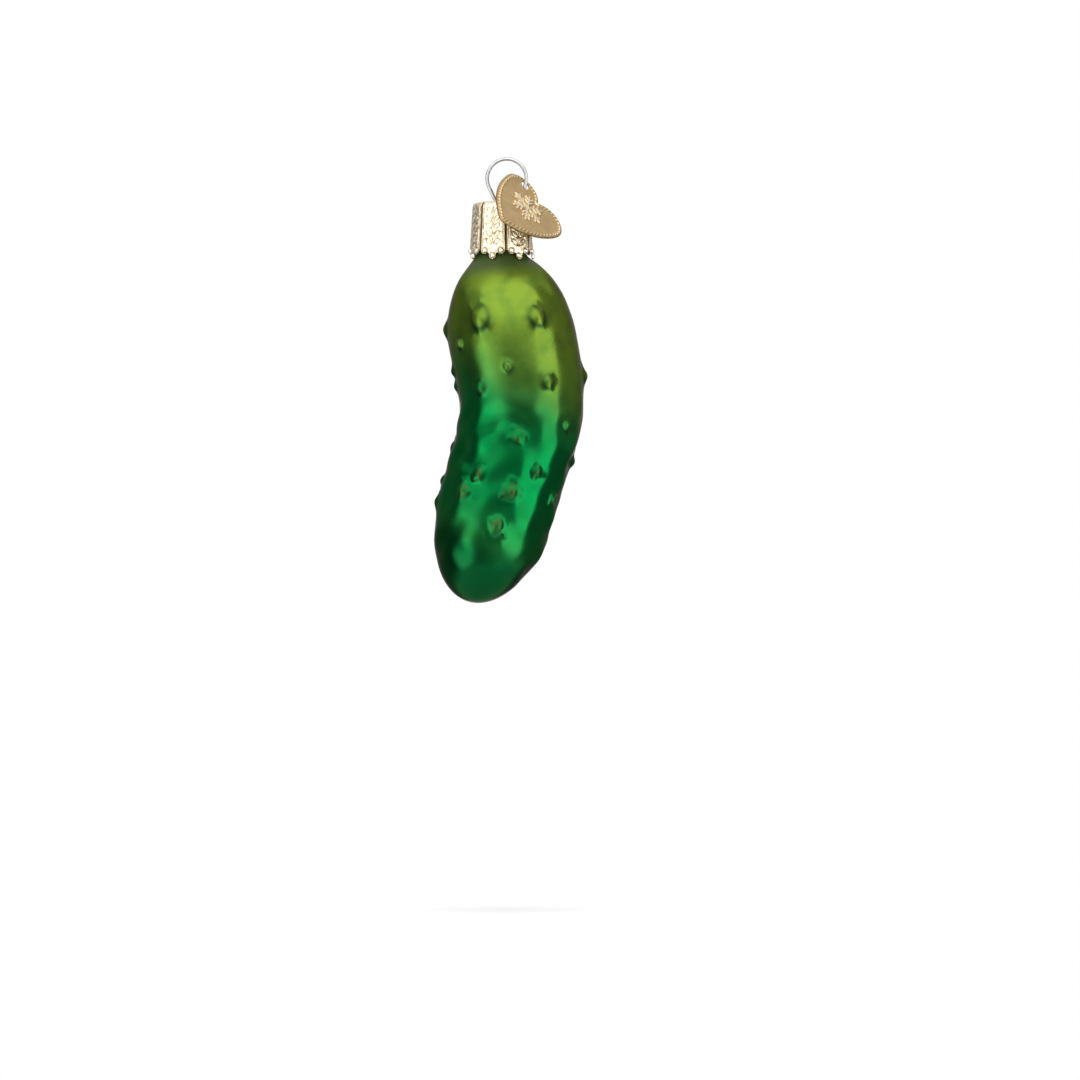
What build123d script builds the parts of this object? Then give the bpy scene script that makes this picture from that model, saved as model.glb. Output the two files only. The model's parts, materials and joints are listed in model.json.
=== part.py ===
from build123d import *
import os
from math import acos, asin, atan2, cos, degrees, hypot, radians, sin, sqrt

# A blown-glass pickle ornament: hollow glass body, stamped crown cap, spring-wire hanger and heart tag.
# Millimetres, +Z up. The origin is the centre of the hanger's eye, the eye's axis is Y,
# and the pickle bends in the XZ plane.

# Hanger: one spring wire with a round eye above the cap and two legs inside the glass neck
WIRE_DIAMETER = 0.7
EYE_RADIUS = 3.83            # to the middle of the wire
EYE_HEIGHT = 4.65            # eye centre to the top of the cap, along the leaning eye
EYE_LEAN = 12.0              # degrees that the eye leans to +X over the cap
LEG_SPACING = 2.2            # between the two wires where they pass through the cap
LEG_REACH = 11.3             # top of the cap to the tips of the legs
LEG_CONTACT = 7.6            # top of the cap to where the legs bear on the glass
LEG_TOE_IN = 0.7             # how far the tips turn back from the glass
NECK_BEND = 1.1              # bend radius where the legs pass through the cap
LEG_BEND = 3.0               # bend radius where the legs bear on the glass
LEG_CLEARANCE = 0.12         # between the legs and the glass neck

# Cap: thin stamped metal, fluted into panels, each ending in a beaded trefoil
CAP_TOP_RADIUS = 5.85        # over the crests of the panels
CAP_BOTTOM_RADIUS = 6.5
CAP_HEIGHT = 11.35           # top to the lowest scallop
CAP_SHEET = 0.3
CAP_RIM_ROUND = 1.2
CAP_CREST_EASE = 0.12        # the crests stay this far inside the rounded blank
CAP_PANELS = 7
CAP_FIRST_GROOVE = 8.5       # degrees from the front, towards +X
GROOVE_DEPTH = 0.4
CAP_HOLE_CLEARANCE = 0.35    # round the two wires in the cap's hole
SCALLOP_RADIUS = 0.65
SIDE_SCALLOP_RISE = 1.0      # side beads above the middle bead
SIDE_SCALLOP_OFFSET = 1.75   # side beads from the middle of the panel
BEAD_RADIUS = 0.45
BEAD_PROUD = 0.2

# Glass: a pickle-shaped bulb whose middle line is straight, bent, then straight, with a tube neck
GLASS_WALL = 0.9
NECK_RADIUS = 4.7
NECK_RIM_GAP = 0.25          # between the rim of the neck and the underside of the cap
SHOULDER_DROP = 9.75         # top of the cap to the top of the bulb
SHOULDER_OFFSET = -1.44      # top of the bulb's middle line from the neck's axis
TOP_LEAN = 11.5              # degrees that the upper part leans to +X going down
TOP_STRAIGHT = 22.7
BEND_RADIUS = 34.0
BOTTOM_LEAN = 16.8           # degrees that the lower part leans to -X going down
BOTTOM_STRAIGHT = 30.8
TOP_RADIUS = 12.5
TOP_DOME = 18.0              # length of the upper dome along the middle line
BOTTOM_RADIUS = 11.3
BOTTOM_DOME = 19.0
BOTTOM_FLAT = 4.0            # degrees from the tip of the lower dome where its last section lies
DOME_SECTIONS = 8
WAIST_SECTIONS = 8

# Warts: distance down the middle line, degrees round from the front towards +X, radius
WARTS = [
    (12.4, -26, 2.0), (14.4, 27, 1.8), (13.1, -90, 1.7), (16.4, -55, 1.2), (21.4, -85, 1.2),
    (22.7, -9, 1.1), (25.3, -90, 1.2), (26.5, -39, 1.3), (26.5, 26, 1.5), (26.0, 90, 1.8),
    (36.6, 2, 1.4), (38.6, 90, 1.3), (41.9, -90, 1.3), (42.1, 29, 1.3), (45.8, -26, 1.2),
    (46.5, 63, 1.2), (47.3, 10, 1.7), (49.0, -90, 1.4), (49.7, -39, 1.6), (53.3, -83, 1.2),
    (54.4, 6, 1.6), (33.5, 52, 1.1),
    (12.5, 150, 1.9), (14.0, -150, 1.8), (19.0, 118, 1.5), (22.0, 166, 1.4), (26.0, -140, 1.7),
    (30.0, 140, 1.6), (33.0, -168, 1.5), (37.0, 120, 1.4), (40.0, -128, 1.5), (45.0, 160, 1.7),
    (48.0, -155, 1.4), (52.0, 128, 1.4), (55.5, -164, 1.5),
]
WART_PROUD = 0.5             # share of its radius that a wart stands out of the glass

# Tag: a flat heart on the wire of the eye, leaning on the front of the cap
TAG_SHEET = 0.3
LOBE_RADIUS = 4.1
LOBE_SPACING = 7.5
LOBE_END = 4.0               # degrees below level where a lobe runs into the side
TAG_TIP = 13.5               # lobe centres to the point of the heart, before it is rounded
TAG_TIP_ROUND = 1.5
TAG_HOLE_RADIUS = 1.0
TAG_HOLE_ACROSS = 4.4        # hole from the middle of the heart, towards the upper lobe
TAG_HOLE_UP = 2.3            # hole above the lobe centres
TAG_ON_EYE = 21.5            # degrees below level where the tag hangs on the eye's right side
TAG_FACE_RIGHT = 51.0        # degrees that the tag faces to the right of the front
TAG_SPIN = 73.0              # degrees that its notch turns from up towards the right
TAG_REST_GAP = 0.15          # between the resting tag and the rim of the cap

# Places that follow from the sizes above
WIRE_RADIUS = WIRE_DIAMETER / 2
CAP_X = -EYE_HEIGHT * sin(radians(EYE_LEAN))
CAP_TOP = -EYE_HEIGHT * cos(radians(EYE_LEAN))
CAP_HOLE_RADIUS = LEG_SPACING / 2 + WIRE_DIAMETER + CAP_HOLE_CLEARANCE
BORE_RADIUS = NECK_RADIUS - GLASS_WALL
PANEL_ANGLE = 360 / CAP_PANELS
BEND_ANGLE = TOP_LEAN + BOTTOM_LEAN
BEND_LENGTH = BEND_RADIUS * radians(BEND_ANGLE)
SPINE_LENGTH = TOP_STRAIGHT + BEND_LENGTH + BOTTOM_STRAIGHT
SPINE_X = CAP_X + SHOULDER_OFFSET
SPINE_TOP = CAP_TOP - SHOULDER_DROP


def spine_at(distance):
    """The middle line's point at a distance below the top of the bulb, and its lean to +X in radians."""
    top, bottom = radians(TOP_LEAN), radians(BOTTOM_LEAN)
    above = min(distance, TOP_STRAIGHT)
    turned = min(max(distance - TOP_STRAIGHT, 0), BEND_LENGTH) / BEND_RADIUS
    below = max(distance - TOP_STRAIGHT - BEND_LENGTH, 0)
    lean = top - turned
    x = SPINE_X + above * sin(top) + BEND_RADIUS * (cos(lean) - cos(top)) - below * sin(bottom)
    z = SPINE_TOP - above * cos(top) - BEND_RADIUS * (sin(top) - sin(lean)) - below * cos(bottom)
    return Vector(x, 0, z), lean


def radius_at(distance):
    """The bulb's outer radius at a distance along its middle line."""
    from_bottom = SPINE_LENGTH - distance
    if distance < TOP_DOME:
        return TOP_RADIUS * sqrt(1 - (1 - distance / TOP_DOME) ** 2)
    if from_bottom < BOTTOM_DOME:
        return BOTTOM_RADIUS * sqrt(1 - (1 - from_bottom / BOTTOM_DOME) ** 2)
    share = (distance - TOP_DOME) / (SPINE_LENGTH - TOP_DOME - BOTTOM_DOME)
    return TOP_RADIUS + (BOTTOM_RADIUS - TOP_RADIUS) * share * share * (3 - 2 * share)


def section_plane(distance):
    """The plane square to the middle line, facing down it."""
    point, lean = spine_at(distance)
    return Plane(origin=point, x_dir=(0, 1, 0), z_dir=(sin(lean), 0, -cos(lean)))


def spread(start, end, count):
    """Evenly spaced values from start to end."""
    return [start + (end - start) * i / (count - 1) for i in range(count)]


def bulb(inset):
    """The pickle's body as one smooth solid through round sections, taken in all round by an inset."""
    waist_end = SPINE_LENGTH - BOTTOM_DOME
    sections = []
    for turn in spread(asin((NECK_RADIUS - GLASS_WALL) / TOP_RADIUS), radians(90), DOME_SECTIONS):
        distance = TOP_DOME - (TOP_DOME - inset) * cos(turn)
        sections.append((distance, (TOP_RADIUS - inset) * sin(turn)))
    for distance in spread(TOP_DOME, waist_end, WAIST_SECTIONS)[1:-1]:
        sections.append((distance, radius_at(distance) - inset))
    for turn in spread(radians(90), radians(BOTTOM_FLAT), DOME_SECTIONS):
        distance = waist_end + (BOTTOM_DOME - inset) * cos(turn)
        sections.append((distance, (BOTTOM_RADIUS - inset) * sin(turn)))
    return loft([section_plane(distance) * Circle(radius) for distance, radius in sections])


def wart(distance, turn, radius):
    """A ball sunk in the glass at a place along and round the body."""
    point, lean = spine_at(distance)
    across = Vector(cos(lean), 0, sin(lean))
    outward = across * sin(radians(turn)) + Vector(0, -1, 0) * cos(radians(turn))
    centre = point + outward * (radius_at(distance) - radius * (1 - WART_PROUD))
    return Pos(centre.X, centre.Y, centre.Z) * Sphere(radius)


def make_glass_body():
    """The hollow pickle with its warts and its open tube neck."""
    rim = CAP_TOP - CAP_SHEET - NECK_RIM_GAP
    foot = SPINE_TOP - TOP_DOME / 2
    middle = Pos(CAP_X, 0, (rim + foot) / 2)
    outside = bulb(0) + middle * Cylinder(NECK_RADIUS, rim - foot)
    for place in WARTS:
        outside += wart(*place)
    return outside - bulb(GLASS_WALL) - middle * Cylinder(BORE_RADIUS, rim - foot)


def panel_face(radius, height):
    """The cap's cross-section at a height: bulged panels that meet in grooves."""
    corners = range(2 * CAP_PANELS + 1)
    turns = [radians(CAP_FIRST_GROOVE - 90 + PANEL_ANGLE * i / 2) for i in corners]
    reach = [radius if i % 2 else radius - GROOVE_DEPTH for i in corners]
    points = [(r * cos(turn), r * sin(turn)) for r, turn in zip(reach, turns)]
    arcs = [ThreePointArc(*points[i:i + 3]) for i in range(0, 2 * CAP_PANELS, 2)]
    return Pos(0, 0, height) * make_face(arcs)


def cap_form(inset):
    """The fluted, slightly flared cap as a solid with a rounded rim, taken in by an inset."""
    top_radius, bottom_radius = CAP_TOP_RADIUS - inset, CAP_BOTTOM_RADIUS - inset
    fluted = loft([panel_face(top_radius, -inset), panel_face(bottom_radius, -CAP_HEIGHT)], ruled=True)
    crest, skirt = top_radius + CAP_CREST_EASE, bottom_radius + CAP_CREST_EASE
    flat = crest - (CAP_RIM_ROUND - inset)
    bow = CAP_RIM_ROUND - inset
    rim = CenterArc((flat, -CAP_RIM_ROUND), bow, 0, 90)
    skirt_end, middle, top = (skirt, -CAP_HEIGHT), (0, -CAP_HEIGHT), (0, -inset)
    sides = Polyline((crest, -CAP_RIM_ROUND), skirt_end, middle, top, (flat, -inset))
    return fluted & revolve(Plane.XZ * make_face([rim, sides]), Axis.Z)


def panel_plane(turn):
    """The upright plane through the cap's axis whose normal points out through a panel."""
    return Plane(origin=(0, 0, 0), x_dir=(-sin(turn), cos(turn), 0), z_dir=(cos(turn), sin(turn), 0))


def make_crown_cap():
    """The crown cap: a thin fluted shell with a round hole on top and beaded trefoils below."""
    shell = cap_form(0) - cap_form(CAP_SHEET)
    shell -= Cylinder(CAP_HOLE_RADIUS, 3 * CAP_SHEET)
    low = SCALLOP_RADIUS - CAP_HEIGHT
    side = low + SIDE_SCALLOP_RISE
    trefoil = [(-SIDE_SCALLOP_OFFSET, side), (0, low), (SIDE_SCALLOP_OFFSET, side)]
    width = 2 * CAP_BOTTOM_RADIUS * sin(radians(PANEL_ANGLE / 2)) + CAP_SHEET
    outline = Rectangle(width, CAP_SHEET - side, align=(Align.CENTER, Align.MIN))
    outline = Pos(0, side) * outline + make_face(Polyline(*trefoil, close=True))
    outline += [Pos(*place) * Circle(SCALLOP_RADIUS) for place in trefoil]
    turns = [radians(CAP_FIRST_GROOVE - 90 + PANEL_ANGLE * (i + 0.5)) for i in range(CAP_PANELS)]
    panels = [extrude(panel_plane(turn) * outline, CAP_BOTTOM_RADIUS + CAP_SHEET) for turn in turns]
    cap = shell & (panels[0] + panels[1:])
    for turn in turns:
        for across, up in trefoil:
            flare = CAP_BOTTOM_RADIUS + (CAP_TOP_RADIUS - CAP_BOTTOM_RADIUS) * (up / CAP_HEIGHT + 1)
            off_crest = degrees(asin(across / flare)) / (PANEL_ANGLE / 2)
            depth = flare - GROOVE_DEPTH * off_crest ** 2 - BEAD_RADIUS + BEAD_PROUD
            out = sqrt(depth ** 2 - across ** 2)
            cap += panel_plane(turn) * Pos(across, up, out) * Sphere(BEAD_RADIUS)
    return Pos(CAP_X, 0, CAP_TOP) * cap


def wire_side(side):
    """Corners of the wire on one side: where it leaves the eye, the cap's hole, the glass, and the tip."""
    wall = BORE_RADIUS - WIRE_RADIUS - LEG_CLEARANCE
    hole = (CAP_X + side * LEG_SPACING / 2, CAP_TOP)
    leave = atan2(hole[1], hole[0]) + side * acos(EYE_RADIUS / hypot(*hole))
    touch = (EYE_RADIUS * cos(leave), EYE_RADIUS * sin(leave))
    bearing = (CAP_X + side * wall, CAP_TOP - LEG_CONTACT)
    tip = (CAP_X + side * (wall - LEG_TOE_IN), CAP_TOP - LEG_REACH)
    return [touch, hole, bearing, tip]


def make_hanger_clip():
    """The spring wire: up one leg, round the eye and down the other leg."""
    left, right = wire_side(-1), wire_side(1)
    crown = (EYE_RADIUS * sin(radians(EYE_LEAN)), EYE_RADIUS * cos(radians(EYE_LEAN)))
    up = FilletPolyline(*reversed(left), radius=[LEG_BEND, NECK_BEND])
    eye = ThreePointArc(left[0], crown, right[0])
    down = FilletPolyline(*right, radius=[NECK_BEND, LEG_BEND])
    path = Plane.XZ * Wire([*up.edges(), eye, *down.edges()])
    start = Plane(origin=path @ 0, z_dir=path % 0)
    return sweep(start * Circle(WIRE_RADIUS), path=path)


def tag_plane():
    """The plane of the resting tag through its hole, leaning on the rounded rim of the cap."""
    place, facing = radians(TAG_ON_EYE), radians(TAG_FACE_RIGHT)
    hole = Vector(EYE_RADIUS * cos(place), 0, -EYE_RADIUS * sin(place))
    rim_radius = CAP_TOP_RADIUS + CAP_CREST_EASE - CAP_RIM_ROUND
    reach = (hole.X - CAP_X) * sin(facing) - rim_radius
    rise = hole.Z - CAP_TOP + CAP_RIM_ROUND
    stand_off = CAP_RIM_ROUND + TAG_REST_GAP + TAG_SHEET / 2
    tilt = atan2(rise, reach) - acos(stand_off / hypot(reach, rise))
    level = Vector(cos(facing), sin(facing), 0)
    normal = Vector(cos(tilt) * sin(facing), -cos(tilt) * cos(facing), sin(tilt))
    upward = normal.cross(level)
    spin = radians(TAG_SPIN)
    return Plane(origin=hole, x_dir=level * cos(spin) - upward * sin(spin), z_dir=normal)


def make_heart_tag():
    """The heart: two lobes, sides that run into a rounded tip, and a hole in the upper lobe."""
    half, end = LOBE_SPACING / 2, radians(LOBE_END)
    notch = (0, sqrt(LOBE_RADIUS ** 2 - half ** 2))
    tip = (0, -TAG_TIP)
    edges = []
    for side in (-1, 1):
        lobe_end = (side * (half + LOBE_RADIUS * cos(end)), -LOBE_RADIUS * sin(end))
        heading = (-side * sin(end), -cos(end))
        edges.append(ThreePointArc(notch, (side * half, LOBE_RADIUS), lobe_end))
        edges.append(TangentArc(lobe_end, tip, tangent=heading))
    heart = make_face(edges)
    heart = fillet(heart.vertices().sort_by(Axis.Y)[:1], TAG_TIP_ROUND)
    hole = Pos(-TAG_HOLE_ACROSS, TAG_HOLE_UP)
    plate = extrude(heart - hole * Circle(TAG_HOLE_RADIUS), TAG_SHEET / 2, both=True)
    return tag_plane().location * Pos(TAG_HOLE_ACROSS, -TAG_HOLE_UP) * plate


PIECES = {
    "glass_body": make_glass_body,
    "crown_cap": make_crown_cap,
    "hanger_clip": make_hanger_clip,
    "heart_tag": make_heart_tag,
}


def main():
    """Make each piece and write it under its name."""
    os.makedirs("parts", exist_ok=True)
    for name, make in PIECES.items():
        export_step(make(), f"parts/{name}.step")


if __name__ == "__main__":
    main()
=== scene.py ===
"""Looks of the pickle ornament around the frame of its solids.

Sizes are in millimetres and become metres when a mesh is made. +Z is up, the front faces -Y,
and the origin is the centre of the hanger's eye.
"""
import json
import math

import bmesh
import bpy
import numpy as np
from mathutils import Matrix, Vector
from mathutils.geometry import delaunay_2d_cdt


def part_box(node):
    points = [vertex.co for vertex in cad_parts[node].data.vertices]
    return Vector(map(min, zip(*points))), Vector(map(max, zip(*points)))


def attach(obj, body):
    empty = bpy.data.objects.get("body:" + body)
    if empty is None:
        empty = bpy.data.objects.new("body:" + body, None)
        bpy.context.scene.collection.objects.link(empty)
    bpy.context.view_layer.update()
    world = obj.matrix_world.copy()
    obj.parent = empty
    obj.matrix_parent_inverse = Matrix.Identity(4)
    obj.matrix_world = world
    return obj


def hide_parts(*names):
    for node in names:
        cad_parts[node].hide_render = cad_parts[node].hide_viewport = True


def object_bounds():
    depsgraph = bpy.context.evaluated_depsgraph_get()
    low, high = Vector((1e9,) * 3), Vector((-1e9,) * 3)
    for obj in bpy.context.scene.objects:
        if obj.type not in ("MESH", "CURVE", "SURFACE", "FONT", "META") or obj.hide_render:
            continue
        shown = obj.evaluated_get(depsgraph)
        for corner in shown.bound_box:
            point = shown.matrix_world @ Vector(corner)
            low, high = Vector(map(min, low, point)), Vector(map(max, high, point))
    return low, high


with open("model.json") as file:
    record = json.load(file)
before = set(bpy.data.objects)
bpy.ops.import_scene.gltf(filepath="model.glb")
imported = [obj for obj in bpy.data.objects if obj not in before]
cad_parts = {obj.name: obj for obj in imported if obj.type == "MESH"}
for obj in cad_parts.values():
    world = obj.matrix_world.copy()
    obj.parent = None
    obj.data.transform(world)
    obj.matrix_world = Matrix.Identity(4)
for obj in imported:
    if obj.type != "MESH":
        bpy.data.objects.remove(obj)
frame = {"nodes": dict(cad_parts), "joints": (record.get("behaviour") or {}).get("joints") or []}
cad_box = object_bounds()
joints = {joint["name"]: joint for joint in frame["joints"]}

MM = 0.001
CAP_X, _, CAP_TOP = (value / MM for value in joints["cap_swivel"]["pos_m"])
TAG_HOLE = np.array(joints["tag_swing"]["pos_m"]) / MM
TINY = 1e-12                   # keeps divisions from failing
NOISE_LOW, NOISE_HIGH = 0.3, 0.7   # most values of a noise lie between these

# Glass: the same bent middle line and domes as the solid
GLASS_WALL = 0.9
NECK_RADIUS = 4.7
NECK_RIM = CAP_TOP - 0.55
NECK_FOOT = CAP_TOP - 9.6
RIM_ROUND = 0.25
RIM_CORNER = (0.1, 0.06)       # a point on each round of the rim: in from its edge, and down
SPINE_X = CAP_X - 1.44
SPINE_TOP = CAP_TOP - 9.75
TOP_LEAN = math.radians(11.5)
TOP_STRAIGHT = 22.7
BEND_RADIUS = 34.0
BOTTOM_LEAN = math.radians(16.8)
BOTTOM_STRAIGHT = 30.8
BEND_LENGTH = BEND_RADIUS * (TOP_LEAN + BOTTOM_LEAN)
SPINE_LENGTH = TOP_STRAIGHT + BEND_LENGTH + BOTTOM_STRAIGHT
TOP_RADIUS = 12.5
TOP_DOME = 18.0
BOTTOM_RADIUS = 11.3
BOTTOM_DOME = 19.0
SHOULDER_RADIUS = 6.9          # where the bulb meets the fillet at the foot of the neck
INNER_SHOULDER_RADIUS = 5.6
TIP_TURN = math.radians(1.2)   # the last ring's angle from the tip of the lower dome
FILLET_PULL = 2.4              # how strongly the fillets follow the surfaces that they join
FILLET_ROWS = (6, 8)           # inside and outside
GLASS_COLUMNS = 256
GLASS_ROWS = (60, 124, 84)     # upper dome, waist and lower dome
INNER_ROWS = (12, 16, 14)

# Warts: distance down the middle line, degrees round from the front towards +X, radius
WARTS = [
    (12.4, -26, 2.4), (14.4, 27, 2.1), (13.1, -90, 1.7), (16.4, -55, 1.2), (21.4, -85, 1.2),
    (22.7, -9, 1.1), (25.3, -90, 1.2), (26.5, -39, 1.3), (26.5, 26, 1.5), (26.0, 90, 1.8),
    (36.6, 2, 1.4), (38.6, 90, 1.3), (41.9, -90, 1.3), (42.1, 29, 1.3), (45.8, -26, 1.2),
    (46.5, 63, 1.2), (47.3, 10, 1.7), (49.0, -90, 1.4), (49.7, -39, 1.6), (53.3, -83, 1.2),
    (54.4, 6, 1.6), (33.5, 52, 1.1),
    (12.5, 150, 1.9), (14.0, -150, 1.8), (19.0, 118, 1.5), (22.0, 166, 1.4), (26.0, -140, 1.7),
    (30.0, 140, 1.6), (33.0, -168, 1.5), (37.0, 120, 1.4), (40.0, -128, 1.5), (45.0, 160, 1.7),
    (48.0, -155, 1.4), (52.0, 128, 1.4), (55.5, -164, 1.5),
]
WART_RISE = 0.5                # height of a wart as a share of its radius
WART_SPREAD = 1.35             # the larger, the narrower a wart is inside its radius
WART_STRETCH = 1.2             # length of a wart along the body as a share of its width
WART_RAGGED = (0.06, 0.2)      # how uneven the warts' outlines are in the upper and the lower half
WART_WAVE_COUNT = 14
WART_WAVES = (1.4, 3.2)        # shortest and longest wave of those outlines
WART_SEED = 11
WART_FOOT = 0.36               # share of a wart's height where shade is painted round its foot
WART_FOOT_WIDTH = 0.22
WART_FOOT_ABOVE = 0.55         # how much shade is painted above a wart as a share of what is painted below it
WART_FOOT_LOW = 0.6            # how strong that painted shade is in the lower half as a share of the upper
WART_BELOW = (-0.6, 0.8)       # cosines of the way down that count as above and as below a wart

# Uneven glass: seeded waves, stronger in the lower half
LUMP_COUNT = 48
LUMP_HEIGHTS = (0.03, 0.26)    # in the upper and the lower half
LUMP_START, LUMP_END = 24.0, 36.0   # distances where the upper half ends and the lower one begins
LUMP_FADE_TOP = 5.0            # over which the unevenness comes in below the shoulder
LUMP_FADE_TIP = (2.0, 14.0)    # from the lower tip: even up to the first, uneven from the second
LUMP_WAVES = (4.0, 12.0)       # shortest and longest
LUMP_CALM = 0.45               # the glass is more even on one side of the front
LUMP_CALM_TURN = math.radians(48)
LUMP_CALM_SPREAD = math.radians(24)
LUMP_SEED = 8

# Cap: fluted panels with a leafy sprig, side borders and beaded trefoils
CAP_TOP_RADIUS = 5.85
CAP_BOTTOM_RADIUS = 6.5
CAP_HEIGHT = 11.35
CAP_SHEET = 0.3
CAP_LIP_BEVEL = 0.18           # how much higher the sheet's inner edge ends than its outer one
CAP_RIM_ROUND = 1.2
CAP_HOLE_RADIUS = 2.15
CAP_PANELS = 7
CAP_FIRST_GROOVE = 8.5         # degrees round from the front towards +X
PANEL_FLATNESS = 0.5           # 0 keeps the panels on the cap's round, 1 makes them flat
GROOVE_DEPTH = 0.42
GROOVE_WIDTH = 0.1             # as a share of half a panel
PLEAT_START = 3.0              # radius on the top where the pleats begin
SCALLOP_RADIUS = 0.7
SIDE_SCALLOP_RISE = 1.0
SIDE_SCALLOP_OFFSET = 1.75
BEAD_RADIUS = 0.46
BEAD_RISE = 0.7                # height of a bead as a share of its radius
BEAD_RING = 0.55
BEAD_RING_WIDTH = 0.1
BEAD_RING_DEPTH = 0.22
HOLE_LIP = 0.12                # height of the lip round the hole
HOLE_LIP_OUT = 0.25            # from the hole's edge to the middle of the lip
HOLE_LIP_WIDTH = 0.2
BORDER_PLACE = 0.8             # as a share of half a panel
BORDER_WIDTH = 0.03
SPRIG_FOOT = -8.7
LEAF_STEP = 1.5
LEAF_PAIRS = 5
LEAF_OUT = 0.92
LEAF_UP = 0.75
LEAF_TILT = math.radians(42)
LEAF_LENGTH = 0.82
LEAF_WIDTH = 0.42
LINE_WIDTH = 0.1
LINE_DEPTH = 0.13
STEM_FADE = 0.2                # over which the sprig's stem begins and ends
LOBE_CLEAR = (-0.1, 0.2)       # from a lobe's edge: the design is gone at the first and whole at the second
DESIGN_TILT = (0.6, 1.4)       # tilts of the sheet, in radians, where the design begins and is whole
CAP_GRAIN = 0.016              # height of the sheet's fine dents
CAP_GRAIN_COUNT = 24
CAP_GRAIN_WAVES = (0.45, 1.2)
CAP_GRAIN_SEED = 3
CAP_COLUMNS = 64               # in each panel
CAP_TOP_ROWS, CAP_RIM_ROWS, CAP_SIDE_ROWS = 14, 12, 96
CAP_INNER_ROWS = (4, 5, 12)

# Tag: a stamped heart leaning on the rim of the cap
CREST_EASE = 0.12              # the cap's crests stay this far inside its rounded blank
TAG_SHEET = 0.3
LOBE_RADIUS = 4.1
LOBE_SPACING = 7.5
LOBE_END = math.radians(4.0)
TAG_TIP = 13.5
TAG_TIP_ROUND = 1.5
TAG_HOLE_RADIUS = 1.0
TAG_HOLE_ACROSS = 4.4
TAG_HOLE_UP = 2.3
TAG_FACE_RIGHT = math.radians(51.0)
TAG_SPIN = math.radians(73.0)
TAG_REST_GAP = 0.15
TAG_GRID = 0.15
EDGE_STEP = 0.12
EDGE_BEVEL = 0.07
EDGE_BEVEL_WIDTH = 0.16
MERGE_GAP = 1e-6               # points closer than this are one
BACK_DEPTH = 0.8               # depth of the stamping behind as a share of its height in front
DASH_COUNT = 56
DASH_MIDDLE = 0.62             # from the edge of the heart
DASH_HALF = 0.42
DASH_SLANT = 0.4
DASH_HEIGHT = 0.24
DASH_POWER = 1.3               # over 1, the dashes are narrower than the gaps between them
DASH_FADE = 0.75               # softness of the dashes' ends as a share of their half length
FLAKE_PLACE = (0.0, -2.6)
FLAKE_ARM = 3.7
FLAKE_HALF = 0.26
FLAKE_SOFT = 0.14
FLAKE_HEIGHT = 0.2
BARB_STARTS = (1.3, 2.3)
BARB_REACH = 0.8

# Picture: the width that it shows, and the place at its middle as x and z
FRAME_WIDTH = 211.0
FRAME_MIDDLE = (6.5, -70.6)
LENS = 250.0
SENSOR = 36.0
CAMERA_RANGE = (50.0, 20000.0)   # nearest and farthest that it sees

# Set: a floor below the hanging ornament, a screen round it and a soft box above
WORLD_LIGHT = (0.6, 1.0)       # strength as a fill light, and as the background that is seen
SOFT_BOX_AZIMUTH = math.radians(4)
SOFT_BOX_ELEVATION = math.radians(51)
SOFT_BOX_DISTANCE = 800.0
SOFT_BOX_SIZE = (1800.0, 750.0)
SOFT_BOX_RADIANCE = 1.25
SOFT_BOX_AIM = 0.6             # share of the way down to the picture's middle
FLOOR_DROP = 60.0
FLOOR_RADIUS = 70.0
FLOOR_CORNERS = 96
FLOOR_GLOW = (0.05, 0.45)      # under the ornament and at the floor's edge
SCREEN_RADIUS = 1100.0
SCREEN_LOW = -48.0             # degrees of elevation
SCREEN_FADE = 18.0             # over which the light panels fade out at their feet
SCREEN_FOOT_LIGHT = 1.0        # what they fade to
SCREEN_MIDWAY = (-16.0, -4.0)  # elevations where the light low down ends and the light midway begins
SCREEN_UPPER = (0.6, 1.0)      # shares of the height where the light midway ends and the top's begins
SCREEN_STEP = 4.0
SCREEN_ROWS = 17
# Azimuth from the front towards +X, elevation of the top edge,
# and the light low down, midway and at the top
SCREEN = [
    (-168, 34, 0.30, 0.38, 0.36), (-125, 30, 0.30, 0.40, 0.34), (-100, 27, 0.20, 0.25, 0.24),
    (-78, 27, 0.20, 0.26, 0.26), (-70, 26, 1.4, 1.1, 0.9), (-63, 25, 3.2, 2.0, 1.4),
    (-52, 23, 3.4, 2.3, 1.7), (-40, 24, 2.4, 1.8, 1.8), (-28, 26, 1.0, 1.3, 1.9),
    (-17, 26, 0.5, 0.8, 1.9), (-8, 26, 0.45, 0.68, 1.9), (25, 26, 0.45, 0.68, 1.9),
    (33, 26, 0.6, 0.85, 1.9), (38, 25, 2.8, 2.2, 1.9), (75.5, 28, 3.2, 2.3, 2.0),
    (77.5, 50, 0.24, 0.44, 0.44), (104, 46, 0.24, 0.44, 0.44), (117, 33, 0.24, 0.44, 0.44),
    (168, 33, 0.24, 0.38, 0.38),
]

# Lacquer: share of the height up the glass, and the colour there. Up to a share of about 0.12 the colour
# darkens towards the lower tip as painted shade, and near 0.15 it is a little yellower as a painted
# highlight where the lower highlights fall
LACQUER = [
    (0.0, (0.003, 0.075, 0.020)), (0.09, (0.001, 0.062, 0.017)), (0.12, (0.003, 0.085, 0.022)),
    (0.15, (0.010, 0.140, 0.030)), (0.20, (0.006, 0.145, 0.033)), (0.28, (0.0005, 0.145, 0.034)),
    (0.50, (0.0005, 0.145, 0.034)), (0.57, (0.010, 0.145, 0.032)), (0.62, (0.033, 0.150, 0.028)),
    (0.68, (0.085, 0.192, 0.025)), (0.76, (0.128, 0.218, 0.024)), (0.86, (0.150, 0.230, 0.024)),
    (1.0, (0.145, 0.220, 0.024)),
]
LACQUER_UP = (0.5, 0, 1)       # the way in which those heights are measured, leaning to the right
LACQUER_GLOSS = (0.6, 0.54, 0.54, 1)
LACQUER_WAVE = 0.5             # the fine bumps of the coat
LACQUER_BUMP = 0.01
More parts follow.
